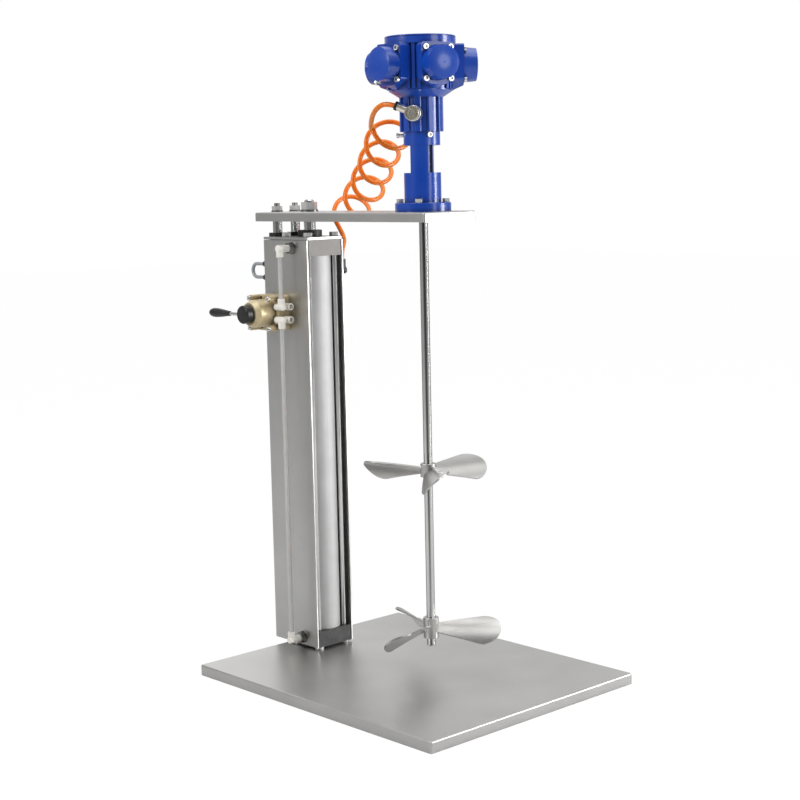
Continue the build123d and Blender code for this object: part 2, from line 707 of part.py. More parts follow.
def make_valve():
    seat = facing(valve_x, valve_face, valve_height)
    body = Box(valve_flange, valve_flange, valve_flange_thickness,
               align=(Align.CENTER, Align.CENTER, Align.MIN))
    body = fillet(body.edges().filter_by(Axis.Z), valve_flange_corner)
    body = fillet(body.faces().sort_by(Axis.Z)[-1].edges(), 2.0)
    body += disc(valve_body_diameter, valve_body_length, valve_flange_thickness)
    cavity_start = valve_flange_thickness + valve_body_length - valve_cavity_depth
    screws = []
    for sx, sy in quarter_signs:
        x = sx * valve_screw_spacing / 2
        y = sy * valve_screw_spacing / 2
        body += Pos(x, y, 0) * disc(valve_boss_diameter, valve_boss_length, valve_flange_thickness)
        head = Pos(x, y, 0) * disc(valve_boss_diameter * 0.8, 4.0, valve_flange_thickness + valve_boss_length)
        slot = Pos(x, y, valve_flange_thickness + valve_boss_length + 3) * Box(valve_boss_diameter, 1.2, 2.0)
        screws.append(seat * (head - slot))
    body -= disc(valve_cavity_diameter, valve_cavity_depth, cavity_start)
    for sx, sy in quarter_signs:
        spot = Pos(sx * valve_mount_spread / 2, sy * valve_screw_spacing / 2, 0)
        body -= spot * disc(valve_mount_hole, valve_flange_thickness)
        shank = disc(valve_mount_hole - 2 * valve_mount_clearance, valve_flange_thickness - valve_mount_sunk)
        socket = Pos(0, 0, valve_flange_thickness - 2 * valve_mount_sunk) * extrude(
            RegularPolygon(valve_mount_hole / 3, 6), valve_mount_sunk)
        screws.append(seat * spot * (shank - socket))
    for height in (port_spread / 2, -port_spread / 2):
        for out in (port_near, port_far):
            bore = Pos(valve_flange / 2, height, out - column_sheet) * Rot(0, 90, 0) * Cylinder(
                fitting_diameter / 2, 2 * (fitting_diameter - 4))
            body -= bore
    parts["valve_body"] = seat * body
    parts["valve_screws"] = Compound(screws)

    bonnet_seat = valve_flange_thickness + valve_body_length
    bonnet = Pos(0, 0, bonnet_seat) * Cone(
        valve_body_diameter / 2, valve_bonnet_front / 2, valve_bonnet_length,
        align=(Align.CENTER, Align.CENTER, Align.MIN))
    bonnet -= disc(valve_stem_diameter + 2 * running_clearance, valve_bonnet_length, bonnet_seat)
    parts["valve_bonnet"] = seat * bonnet

    rotor = disc(valve_cavity_diameter - 0.4, valve_cavity_depth - 2.5, cavity_start + 0.3)
    stem_start = bonnet_seat - valve_rotor_gap
    rotor += disc(valve_stem_diameter, valve_bonnet_length + valve_rotor_gap + knob_gap, stem_start)
    parts["valve_rotor"] = seat * rotor

    knob_seat = bonnet_seat + valve_bonnet_length + knob_gap
    knob = disc(knob_diameter, knob_length, knob_seat)
    knob = fillet(knob.edges().sort_by(Axis.Z)[-1], 2.5)
    lever_out = knob_seat + knob_length / 2
    bar_spot = Pos(0, 0, lever_out) * Rot(0, -90, 0)
    knob -= bar_spot * disc(lever_bar_diameter, knob_diameter)
    parts["valve_knob"] = seat * knob
    bar = bar_spot * disc(lever_bar_diameter, lever_bar_length)
    parts["lever_bar"] = seat * bar
    lock_screw = Pos(-knob_diameter / 2 - lock_screw_stand_off, 0, lever_out) * Rot(-90, 0, 0) * Cylinder(
        lock_screw_diameter / 2, lock_screw_length, align=(Align.CENTER, Align.CENTER, Align.MIN))
    lock_screw -= bar_spot * disc(lever_bar_diameter, lever_bar_length)
    parts["lever_lock_screw"] = seat * lock_screw

    radius = grip_diameter / 2
    curve = Spline((radius * 0.55, 0), (radius * 0.62, grip_length * 0.12), (radius, grip_length * 0.66),
                   (radius * 0.62, grip_length * 0.94), (0.0, grip_length),
                   tangents=((0, 1), (-1, 0)))
    sides = Polyline((0, grip_length), (0, 0), (radius * 0.55, 0))
    grip = revolve(make_face([curve, sides]), Axis.Y)
    grip = bar_spot * Pos(0, 0, grip_start) * Rot(90, 0, 0) * grip
    grip -= bar_spot * disc(lever_bar_diameter, lever_bar_length)
    parts["lever_grip"] = seat * grip


def fitting_places():
    right = valve_x + valve_flange / 2
    rise = port_spread / 2
    near = valve_face - port_near + column_sheet
    far = valve_face - port_far + column_sheet
    return right, rise, near, far


def elbow_socket(x, y, z, up):
    """Upright push-in socket that starts inside its elbow and ends in a lead-in for the tube."""
    direction = 1 if up else -1
    bottom = z if up else z - socket_length
    socket = rod(x, y, bottom, socket_diameter, socket_length)
    mouth = z + direction * socket_length
    start = mouth - tube_insert if up else mouth
    return socket, rod(x, y, start, tube_diameter, tube_insert)


def make_fittings():
    right, rise, near, far = fitting_places()
    tube_x = cylinder_x
    elbows = []
    for up in (True, False):
        z = valve_height + (rise if up else -rise)
        stem = Pos(right - fitting_insert, far, z) * Rot(0, 90, 0) * Cylinder(
            fitting_diameter / 2, tube_x - right + fitting_insert + fitting_diameter / 2,
            align=(Align.CENTER, Align.CENTER, Align.MIN))
        stem = fillet(stem.edges().sort_by(Axis.X)[-1], fitting_round)
        socket, bore = elbow_socket(tube_x, far, z, up)
        elbows.append(stem + socket - bore)
    parts["valve_elbows"] = Compound(elbows)
    plugs = []
    for side in (1, -1):
        z = valve_height + side * rise
        collar = Pos(right - fitting_insert, near, z) * Rot(0, 90, 0) * Cylinder(
            fitting_diameter / 2, fitting_reach + fitting_insert, align=(Align.CENTER, Align.CENTER, Align.MIN))
        bore = Pos(right + fitting_reach - tube_insert, near, z) * Rot(0, 90, 0) * Cylinder(
            tube_diameter / 2, tube_insert, align=(Align.CENTER, Align.CENTER, Align.MIN))
        plugs.append(fillet(collar.edges().sort_by(Axis.X)[-1], fitting_round) - bore)
    parts["valve_port_fittings"] = Compound(plugs)

    nuts = []
    ends = {}
    for name, z, up in (("top_elbow", front_cap_bottom + cap_thickness / 2, False),
                        ("bottom_elbow", cylinder_bottom + cap_thickness / 2, True)):
        wall = facing(cylinder_x, -column_width / 2, z)
        length = -far - column_width / 2 + fitting_diameter / 2
        stem = wall * disc(port_thread, length + column_sheet + fitting_insert, -column_sheet - fitting_insert)
        stem = fillet(stem.edges().sort_by(Axis.Y)[0], fitting_round)
        socket, bore = elbow_socket(cylinder_x, far, z, up)
        parts[name] = stem + socket - bore
        washer = wall * (disc(elbow_washer, elbow_washer_height) - disc(port_thread, elbow_washer_height))
        flats = wall * (nut(0, 0, elbow_washer_height, elbow_nut, port_thread, elbow_nut_height))
        nuts.append(washer)
        nuts.append(flats)
        ends[name] = z + (socket_length if up else -socket_length)
    parts["elbow_nuts"] = Compound(nuts)

    upper_start = valve_height + rise + socket_length - tube_insert
    upper_end = ends["top_elbow"] + tube_insert
    lower_start = ends["bottom_elbow"] - tube_insert
    lower_end = valve_height - rise - socket_length + tube_insert
    parts["upper_air_tube"] = ring(cylinder_x, far, upper_start, tube_diameter, tube_diameter - 2.5,
                                   upper_end - upper_start)
    parts["lower_air_tube"] = ring(cylinder_x, far, lower_start, tube_diameter, tube_diameter - 2.5,
                                   lower_end - lower_start)

    glands = []
    loop_bend = loop_spacing / 2
    for side in (1, -1):
        z = loop_height + side * loop_bend
        gland = Pos(column_rear, loop_offset, z) * Rot(0, -90, 0) * (
            disc(loop_fitting_diameter, loop_fitting_length) - disc(loop_tube_diameter, loop_fitting_length))
        glands.append(gland)
    parts["loop_glands"] = Compound(glands)
    far_x = column_rear - loop_reach + loop_bend
    near_x = column_rear + column_sheet
    top_z = loop_height + loop_bend
    low_z = loop_height - loop_bend
    path = Line((near_x, loop_offset, top_z), (far_x, loop_offset, top_z))
    path += ThreePointArc((far_x, loop_offset, top_z), (far_x - loop_bend, loop_offset, loop_height),
                          (far_x, loop_offset, low_z))
    path += Line((far_x, loop_offset, low_z), (near_x, loop_offset, low_z))
    start = Plane(origin=path @ 0, z_dir=path % 0)
    parts["rear_loop_tube"] = sweep(start * Circle(loop_tube_diameter / 2), path)


# ---- motor inlet and hose -----------------------------------------------------------------
def make_inlet():
    seat = radial(inlet_angle, neck_rib_reach + 1, stand_top + inlet_height, shaft_x)
    turned = seat * Rot(0, 0, 180 - inlet_arm_rise)
    body = disc(inlet_diameter, inlet_length)
    body = fillet(body.edges().filter_by(GeomType.CIRCLE), fitting_round)
    arm_spot = Pos(0, 0, inlet_length / 2) * Rot(0, 90, 0)
    body += arm_spot * disc(inlet_arm_diameter, inlet_arm_length)
    socket_bore = hose_diameter + 2 * hose_socket_clearance
    bore = arm_spot * disc(socket_bore, tube_insert, inlet_arm_length - tube_insert)
    parts["inlet_fitting"] = turned * (body - bore)
    parts["inlet_bolt"] = seat * hexagon(0, 0, inlet_length, inlet_hex, inlet_hex_height)
    collar = arm_spot * Pos(0, 0, inlet_arm_length) * (
        disc(release_ring_diameter, release_ring_length) - disc(socket_bore, release_ring_length))
    parts["release_ring"] = turned * collar

    wall = Plane(origin=(hose_socket_x, column_width / 2, hose_socket_bottom),
                 x_dir=(1, 0, 0), z_dir=(0, 1, 0)).location
    reach = hose_socket_stand_off + fitting_diameter / 2
    stem = wall * disc(port_thread, reach + column_sheet, -column_sheet)
    stem += rod(hose_socket_x, column_width / 2 + hose_socket_stand_off, hose_socket_bottom,
                socket_diameter, hose_socket_length)
    stem -= rod(hose_socket_x, column_width / 2 + hose_socket_stand_off,
                hose_socket_bottom + hose_socket_length - tube_insert, socket_bore, tube_insert)
    parts["hose_elbow"] = stem
    washer = wall * (disc(elbow_washer, elbow_washer_height) - disc(port_thread, elbow_washer_height))
    flats = wall * nut(0, 0, elbow_washer_height, elbow_nut, port_thread, elbow_nut_height)
    parts["elbow_nuts"] = Compound([*parts["elbow_nuts"].solids(), *washer.solids(), *flats.solids()])


# route of the coiled hose: a lead from the inlet, the coil's axis, a lead to the column
lead_in = [(51.77, -45.35, 922.66), (30.04, -58.15, 933.36), (2.0, -57.0, 924.0), (-30.0, -38.0, 906.0),
           (-62.0, -8.0, 896.0)]
coil_axis = [(-43.0, 15.0, 901.0), (-83.0, 31.0, 871.0), (-127.0, 53.0, 840.0), (-176.0, 78.0, 806.0),
             (-222.0, 95.0, 773.0), (-262.0, 94.0, 744.0)]
lead_out = [(-262.0, 94.0, 744.0), (-278.0, 88.0, 736.0), (-276.0, 78.0, 724.0), (-256.0, 70.0, 714.0),
            (-230.0, 60.0, 708.0), (-215.0, 56.0, 697.0), (-215.0, 56.0, 675.0)]


def make_hose():
    coil = sweep_round(coil_axis, hose_coil_diameter)
    entry = sweep_round(lead_in, hose_diameter)
    leaving = sweep_round(lead_out, hose_diameter)
    parts["motor_hose"] = coil + entry + leaving


def main():
    make_base()
    make_column()
    make_cylinder()
    make_guides()
    make_arm()
    make_stand()
    make_neck()
    make_housing()
    make_heads()
    make_cover()
    make_agitator()
    make_valve()
    make_fittings()
    make_inlet()
    make_hose()
    os.makedirs("parts", exist_ok=True)
    for name, shape in parts.items():
        shape.label = name
        export_step(shape, f"parts/{name}.step")
        print(name, round(shape.volume / 1000.0, 2), "cm3")


main()
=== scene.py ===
"""Looks of the tank agitator: camera, finishes, coiled hose, small trim, stage and lights.

Metres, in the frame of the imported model. +X points from the column to the shaft, +Z is up.
"""
import json
import math

import bmesh
import bpy
from mathutils import Matrix, Vector


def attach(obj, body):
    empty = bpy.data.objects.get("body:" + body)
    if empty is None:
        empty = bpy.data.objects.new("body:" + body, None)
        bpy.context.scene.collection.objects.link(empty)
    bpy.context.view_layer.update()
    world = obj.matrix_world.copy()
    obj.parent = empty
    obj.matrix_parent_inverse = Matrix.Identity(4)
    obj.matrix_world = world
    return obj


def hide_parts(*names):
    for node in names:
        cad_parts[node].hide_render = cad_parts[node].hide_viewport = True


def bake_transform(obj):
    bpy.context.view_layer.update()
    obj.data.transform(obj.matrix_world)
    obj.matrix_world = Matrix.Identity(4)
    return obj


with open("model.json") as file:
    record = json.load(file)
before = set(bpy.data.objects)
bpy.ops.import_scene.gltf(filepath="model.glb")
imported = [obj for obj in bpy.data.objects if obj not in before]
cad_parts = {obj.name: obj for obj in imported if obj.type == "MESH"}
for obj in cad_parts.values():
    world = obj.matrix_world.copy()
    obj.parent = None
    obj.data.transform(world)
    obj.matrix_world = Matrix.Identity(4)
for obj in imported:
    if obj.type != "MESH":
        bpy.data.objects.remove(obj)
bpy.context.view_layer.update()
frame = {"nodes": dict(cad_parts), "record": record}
nodes = frame["nodes"]
scene = bpy.context.scene
scene.view_settings.view_transform = "Standard"

# ---- camera -------------------------------------------------------------------------------
CAMERA_PLACE = Vector((1.899, -1.780, 0.814))
CAMERA_HEADING = math.radians(137.1)
CAMERA_PITCH = math.radians(7.66)
CAMERA_ROLL = math.radians(-1.22)
CAMERA_LENS = 73.5
CAMERA_SENSOR = 36.0
CAMERA_SIGHT = 50.0


def make_camera():
    """Camera from its place, heading, pitch and roll."""
    forward = Vector((math.cos(CAMERA_HEADING) * math.cos(CAMERA_PITCH),
                      math.sin(CAMERA_HEADING) * math.cos(CAMERA_PITCH), -math.sin(CAMERA_PITCH)))
    right = Vector((math.sin(CAMERA_HEADING), -math.cos(CAMERA_HEADING), 0.0))
    up = right.cross(forward)
    turned_right = right * math.cos(CAMERA_ROLL) + up * math.sin(CAMERA_ROLL)
    turned_up = up * math.cos(CAMERA_ROLL) - right * math.sin(CAMERA_ROLL)
    data = bpy.data.cameras.new("camera")
    data.lens = CAMERA_LENS
    data.sensor_width = CAMERA_SENSOR
    data.clip_end = CAMERA_SIGHT
    camera = bpy.data.objects.new("camera", data)
    rotation = Matrix((turned_right, turned_up, -forward)).transposed()
    camera.matrix_world = Matrix.Translation(CAMERA_PLACE) @ rotation.to_4x4()
    scene.collection.objects.link(camera)
    scene.camera = camera


make_camera()

# ---- materials ----------------------------------------------------------------------------
COAT_ROUGHNESS = 0.12
# painted shade in the creases and corners of paint: how far it reaches in metres, and its darkest level
PAINT_CREASE_SHADE = (0.012, 0.25)
# soft tube: how deep light spreads in it, its refraction, and its drawing marks
SOFT_DEPTH = 0.004
SOFT_IOR = 1.48
DRAW_DEPTH = 0.00002


class Surface:
    """A Principled material with small helpers to grow its node tree."""

    def __init__(self, name, **values):
        self.material = bpy.data.materials.new(name)
        self.material.use_nodes = True
        self.tree = self.material.node_tree
        self.shader = self.tree.nodes["Principled BSDF"]
        for key, value in values.items():
            self.shader.inputs[key].default_value = value
        self.place = self.add("ShaderNodeTexCoord").outputs["Object"]

    def add(self, kind, **values):
        node = self.tree.nodes.new(kind)
        for key, value in values.items():
            if key in node.inputs:
                node.inputs[key].default_value = value
            else:
                setattr(node, key, value)
        return node

    def link(self, output, target):
        self.tree.links.new(output, target)

    def stretched(self, scale):
        mapping = self.add("ShaderNodeMapping")
        mapping.inputs["Scale"].default_value = scale
        self.link(self.place, mapping.inputs["Vector"])
        return mapping.outputs["Vector"]

    def noise(self, scale, stretch=(1, 1, 1), detail=4.0, rough=0.55):
        """Noise in the object's own metres, drawn out where the stretch is small."""
        node = self.add("ShaderNodeTexNoise", Scale=scale, Detail=detail, Roughness=rough)
        self.link(self.stretched(stretch), node.inputs["Vector"])
        return node.outputs["Fac"]

    def ramp(self, source, stops):
        """Colours by position along a ramp, driven by a node's output."""
        node = self.add("ShaderNodeValToRGB")
        elements = node.color_ramp.elements
        while len(elements) < len(stops):
            elements.new(0.5)
        for element, (position, colour) in zip(elements, stops):
            element.position = position
            element.color = (*colour, 1.0)
        self.link(source, node.inputs["Fac"])
        return node.outputs["Color"]

    def spread(self, source, low, high):
        """A source of 0 to 1 brought to the range from low to high."""
        node = self.add("ShaderNodeMapRange")
        node.inputs["To Min"].default_value = low
        node.inputs["To Max"].default_value = high
        self.link(source, node.inputs["Value"])
        return node.outputs["Result"]

    def bump(self, source, depth):
        """Relief from a height source, its depth in metres."""
        node = self.add("ShaderNodeBump", Strength=1.0, Distance=depth)
        self.link(source, node.inputs["Height"])
        self.link(node.outputs["Normal"], self.shader.inputs["Normal"])

    def colour(self, output):
        self.link(output, self.shader.inputs["Base Color"])

    def tint(self, shade):
        """Multiply the colour so far by another."""
        base = self.shader.inputs["Base Color"].links[0].from_socket
        both = self.add("ShaderNodeMix", data_type="RGBA", blend_type="MULTIPLY")
        both.inputs["Factor"].default_value = 1.0
        self.link(base, both.inputs["A"])
        self.link(shade, both.inputs["B"])
        self.colour(both.outputs["Result"])

    def painted_crease_shade(self, reach, darkest_shade):
        """Painted shade: darken the colour of what lies deep in sockets, grooves and corners."""
        open_sky = self.add("ShaderNodeAmbientOcclusion", Distance=reach, samples=6)
        self.tint(self.ramp(open_sky.outputs["AO"], [(0.35, (darkest_shade,) * 3), (0.85, (1.0, 1.0, 1.0))]))

    def facing(self, stops):
        """Painted reflection: tint by how squarely the surface faces the eye, 0 square on and 1 edge on."""
        weight = self.add("ShaderNodeLayerWeight", Blend=0.5)
        self.tint(self.ramp(weight.outputs["Facing"], [(place, (level,) * 3) for place, level in stops]))

    def roughness(self, output):
        self.link(output, self.shader.inputs["Roughness"])


def worn_colour(surface, base, spread, scale):
    """Faint blotches of lighter and darker colour round the base; returns their noise."""
    low = [max(c - spread, 0.0) for c in base]
    high = [min(c + spread, 1.0) for c in base]
    source = surface.noise(scale, detail=5.0)
    surface.colour(surface.ramp(source, [(0.3, low), (0.7, high)]))
    return source


def brushed(name, base, stretch, rough=(0.30, 0.46), depth=0.00002):
    """Brushed sheet: long fine scratches one way, faint blotches where hands and wipes have been."""
    s = Surface(name, Metallic=1.0)
    lines = s.noise(900.0, stretch, detail=6.0, rough=0.65)
    worn_colour(s, base, 0.035, 7.0)
    wipes = s.noise(14.0, (1, 1, 0.6), detail=3.0)
    mixed = s.add("ShaderNodeMix")
    mixed.inputs["Factor"].default_value = 0.35
    s.link(lines, mixed.inputs["A"])
    s.link(wipes, mixed.inputs["B"])
    s.roughness(s.spread(mixed.outputs["Result"], *rough))
    s.bump(lines, depth)
    return s.material


def polished(name, base, rough=(0.08, 0.16), stretch=(1, 1, 60), scale=300.0, depth=0.000006, crease_shade=None,
             reflection_bands=None):
    """Bright metal with fine marks; painted shade darkens its sockets, painted reflection bands tint it as
    a round bar.
    """
    s = Surface(name, Metallic=1.0)
    marks = s.noise(scale, stretch, detail=5.0)
    worn_colour(s, base, 0.03, 25.0)
    # painted shade darkens its sockets and grooves
    if crease_shade:
        s.painted_crease_shade(*crease_shade)
    # painted reflection: bands of a round bar tinted by facing
    if reflection_bands:
        s.facing(reflection_bands)
    s.roughness(s.spread(marks, *rough))
    s.bump(marks, depth)
    return s.material


def painted(name, base, rough, coat, peel=0.00003, peel_scale=260.0, spread=0.012):
    """Sprayed finish with a slight orange peel under its gloss, and painted shade in its creases."""
    s = Surface(name, Metallic=0.0)
    s.shader.inputs["Coat Weight"].default_value = coat
    s.shader.inputs["Coat Roughness"].default_value = COAT_ROUGHNESS
    skin = s.noise(peel_scale, detail=2.0)
    worn_colour(s, base, spread, 9.0)
    # painted shade darkens the paint's creases and corners
    s.painted_crease_shade(*PAINT_CREASE_SHADE)
    dust = s.noise(40.0, detail=6.0, rough=0.7)
    s.roughness(s.spread(dust, *rough))
    s.bump(skin, peel)
    return s.material


def cast(name, base, metallic, rough, grain=0.00012, scale=900.0, spread=0.03, crease_shade=None):
    """Grained or plated casting, its roughness following its blotches, with painted shade in its hollows
    when asked.
    """
    s = Surface(name, Metallic=metallic)
    skin = s.noise(scale, detail=3.0, rough=0.6)
    blotch = worn_colour(s, base, spread, 45.0)
    # painted shade darkens its hollows
    if crease_shade:
        s.painted_crease_shade(*crease_shade)
    s.roughness(s.spread(blotch, *rough))
    s.bump(skin, grain)
    return s.material


def moulded(name, base, rough, grain=0.00004, scale=1400.0, spread=0.008):
    """Moulded plastic or rubber with a fine skin."""
    s = Surface(name)
    skin = s.noise(scale, detail=2.0)
    worn_colour(s, base, spread, 60.0)
    sheen = s.noise(70.0, detail=4.0)
    s.roughness(s.spread(sheen, *rough))
    s.bump(skin, grain)
    return s.material


def clear_tube(name, base, rough, transmission, subsurface, painted_rim_shading):
    """Soft plastic tube: light passes into it, and painted shading makes its rim differ from its middle."""
    s = Surface(name)
    s.shader.inputs["Transmission Weight"].default_value = transmission
    s.shader.inputs["Subsurface Weight"].default_value = subsurface
    s.shader.inputs["Subsurface Scale"].default_value = SOFT_DEPTH
    s.shader.inputs["IOR"].default_value = SOFT_IOR
    worn_colour(s, base, 0.03, 55.0)
    # painted rim shading: colour tinted by how squarely the tube faces the eye
    rim = s.add("ShaderNodeLayerWeight", Blend=0.35)
    s.tint(s.ramp(rim.outputs["Facing"], [(0.1, painted_rim_shading[0]), (0.8, painted_rim_shading[1])]))
    draw = s.noise(400.0, (1, 1, 0.1), detail=2.0)
    s.roughness(s.spread(draw, *rough))
    s.bump(draw, DRAW_DEPTH)
    return s.material


STEEL = (0.58, 0.575, 0.565)
POLISHED = (0.72, 0.72, 0.71)
EVEN = (1, 1, 1)
ALONG_X = (0.012, 1.0, 1.0)
ALONG_Z = (1.0, 1.0, 0.012)
# painted reflection: a ground shaft mirrors the dark of the room square on, and a bright wall on each side,
# so these are painted into its colour
SHAFT_PAINTED_REFLECTION = [(0.0, 0.16), (0.02, 0.2), (0.07, 0.9), (0.3, 1.0), (0.6, 0.55), (0.85, 0.35)]
# painted rim shading: tint of a soft tube square on, and at its rim
ORANGE_RIM_SHADING = ((0.98, 0.58, 0.35), (1.0, 1.0, 1.0))
CLEAR_RIM_SHADING = ((1.0, 1.0, 1.0), (0.85, 0.86, 0.88))

materials = {
    "stainless": brushed("brushed_stainless_upright", STEEL, ALONG_Z),
    "stainless_flat": brushed("brushed_stainless_flat", STEEL, ALONG_X),
    "polished_steel": polished("polished_steel", POLISHED),
    # painted reflection bands on the shaft
    "shaft_steel": polished("shaft_steel", POLISHED, (0.12, 0.2), reflection_bands=SHAFT_PAINTED_REFLECTION),
    "black_nickel": polished("black_nickel", (0.30, 0.30, 0.29), (0.08, 0.2), EVEN),
    "propeller_steel": polished("propeller_steel", (0.55, 0.545, 0.53), (0.26, 0.38), EVEN, scale=180.0),
    # painted shade darkens the sockets of the zinc bolts
    "zinc_steel": cast("bright_zinc", (0.90, 0.90, 0.88), 0.7, (0.16, 0.30), grain=0.00002, scale=700.0,
                       crease_shade=(0.003, 0.02)),
    "cap_grey": cast("grey_cap", (0.22, 0.21, 0.20), 0.5, (0.42, 0.56)),
    "cap_black": cast("black_cap", (0.022, 0.022, 0.022), 0.0, (0.34, 0.5)),
    "tube_aluminium": polished("drawn_aluminium", (0.62, 0.62, 0.62), (0.60, 0.70), (1, 1, 0.02),
                               scale=500.0, depth=0.00001),
    "motor_blue": painted("motor_blue", (0.006, 0.068, 0.45), (0.16, 0.28), coat=0.5),
    "black_plastic": moulded("black_plastic", (0.016, 0.016, 0.016), (0.28, 0.42)),
    "white_plastic": moulded("white_plastic", (0.94, 0.91, 0.84), (0.25, 0.38), spread=0.02),
    # painted shade darkens the hollows of the valve casting
    "valve_cast": cast("champagne_casting", (0.66, 0.55, 0.34), 0.45, (0.30, 0.46), grain=0.00008,
                       scale=700.0, spread=0.06, crease_shade=(0.009, 0.2)),
    # painted shade darkens the grooves of the fittings
    "nickel_brass": polished("nickel_brass", (0.88, 0.84, 0.73), (0.18, 0.34), EVEN, depth=0.00001,
                             crease_shade=(0.002, 0.3)),
    # painted rim shading on the soft tubes
    "hose_orange": clear_tube("orange_hose", (1.0, 0.36, 0.03), (0.16, 0.28), 0.08, 0.30, ORANGE_RIM_SHADING),
    "tube_white": clear_tube("white_tube", (0.58, 0.58, 0.56), (0.24, 0.36), 0.0, 0.2, CLEAR_RIM_SHADING),
    "tube_grey": moulded("grey_tube", (0.34, 0.36, 0.39), (0.30, 0.42)),
    "rubber_black": moulded("black_rubber", (0.02, 0.02, 0.02), (0.55, 0.70)),
}
# nodes whose finish differs from the one their slot names
special_finish = {
    "base_tray": "stainless_flat", "arm_tray": "stainless_flat", "column_top_plate": "stainless_flat",
    "base_stiffeners": "stainless_flat", "upper_propeller": "propeller_steel",
    "lower_propeller": "propeller_steel", "agitator_shaft": "shaft_steel", "elbow_nuts": "black_nickel",
    "hose_elbow": "black_plastic", "shaft_coupling": "cap_black", "arm_washers": "black_nickel"}


def dress_nodes():
    """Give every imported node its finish, by its material slot."""
    slots = {row["node"]: row["material_slot"] for row in frame["record"]["subparts"]}
    for name, thing in nodes.items():
        material = materials[special_finish.get(name, slots[name])]
        if not thing.data.materials:
            thing.data.materials.append(material)
        for slot in thing.material_slots:
            slot.material = material


dress_nodes()

# ---- hose ---------------------------------------------------------------------------------
MM = 0.001
HOSE_DIAMETER = 8.0 * MM
HOSE_RING_STEP = 2.5 * MM
COIL_RADIUS = 30.5 * MM
COIL_TURNS = 5.34
COIL_START = -0.04
FIRST_TURN, LAST_TURN = 0.25, 5.28
# how the turns of a used coil lie off the line they are wound on
WIDE_UNTIL, WIDER_FIRST = 1.6, 4.8 * MM
NARROW_FROM, WIDER_LAST = 4.2, -2.7 * MM
HANG_ASIDE, HANG_LESS, HANG_UP = 8.4 * MM, -0.42 * MM, 3.4 * MM
LEAN_ASIDE, LEAN_ALONG = 3.9 * MM, -1.7 * MM
STEPS_PER_TURN = 72
RING_SIDES = 14
EASING_STEP, EASING_ROUNDS = 2.0 * MM, 8

lead_in = [(51.77, -45.35, 922.66), (30.04, -58.15, 933.36), (2.0, -57.0, 924.0), (-30.0, -38.0, 906.0),
           (-62.0, -8.0, 896.0)]
coil_axis = [(-43.0, 15.0, 901.0), (-83.0, 31.0, 871.0), (-127.0, 53.0, 840.0), (-176.0, 78.0, 806.0),
             (-222.0, 95.0, 773.0), (-262.0, 94.0, 744.0)]
# the coil's last half turn runs straight into the hidden lead
last_run = [(-241.0, 76.0, 733.0), (-232.0, 76.0, 721.0), (-221.0, 68.0, 711.0), (-215.0, 57.0, 700.0),
            (-215.0, 56.0, 688.0), (-215.0, 56.0, 675.0)]


def spline_points(name, route):
    """Points read from the smooth line whose control points are the route."""
    data = bpy.data.curves.new(name, "CURVE")
    data.dimensions = "3D"
    data.resolution_u = 32
    spline = data.splines.new("NURBS")
    spline.points.add(len(route) - 1)
    for point, place in zip(spline.points, route):
        point.co = (*(MM * c for c in place), 1.0)
    spline.order_u = 3
    spline.use_endpoint_u = True
    thing = bpy.data.objects.new(name, data)
    scene.collection.objects.link(thing)
    bpy.context.view_layer.update()
    graph = bpy.context.evaluated_depsgraph_get()
    mesh = bpy.data.meshes.new_from_object(thing.evaluated_get(graph))
    points = [v.co.copy() for v in mesh.vertices]
    bpy.data.objects.remove(thing)
    bpy.data.meshes.remove(mesh)
    return points


def evenly(points, step):
    """The same line with its points a step apart."""
    out = [points[0].copy()]
    left = step
    for a, b in zip(points, points[1:]):
        length = (b - a).length
        done = 0.0
        while length - done >= left:
            done += left
            out.append(a.lerp(b, done / length))
            left = step
        left -= length - done
    out.append(points[-1].copy())
    return out


def smooth(points, rounds):
    """The line with its corners eased, its ends kept."""
    for _ in range(rounds):
        inner = [(a + b * 2 + c) / 4 for a, b, c in zip(points, points[1:], points[2:])]
        points = [points[0], *inner, points[-1]]
    return points


def helix(axis):
    """Turns round the axis, wider at first and leaning a little, as a used coil lies."""
    line = evenly(axis, MM)
    total = len(line) - 1
    reach = 12
    up = Vector((0, 0, 1))
    out = []
    for k in range(int(FIRST_TURN * STEPS_PER_TURN), int(LAST_TURN * STEPS_PER_TURN) + 1):
        turns = k / STEPS_PER_TURN
        share = min(max(turns / COIL_TURNS + COIL_START, 0.0), 1.0)
        index = min(int(share * total), total - 1)
        here = line[index].lerp(line[index + 1], share * total - index)
        low, high = max(index - reach, 0), min(index + reach, total)
        tangent = (line[high] - line[low]).normalized()
        top = (up - tangent * up.dot(tangent)).normalized()
        side = tangent.cross(top)
        angle = -2 * math.pi * turns
        radius = (COIL_RADIUS + WIDER_FIRST * max(WIDE_UNTIL - turns, 0.0)
                  + WIDER_LAST * max(turns - NARROW_FROM, 0.0))
        rise = radius * math.cos(angle) + HANG_UP
        aside = radius * math.sin(angle) + HANG_ASIDE + HANG_LESS * turns + LEAN_ASIDE * math.cos(angle)
        out.append(here + top * rise + side * aside + tangent * (LEAN_ALONG * math.cos(angle)))
    return out


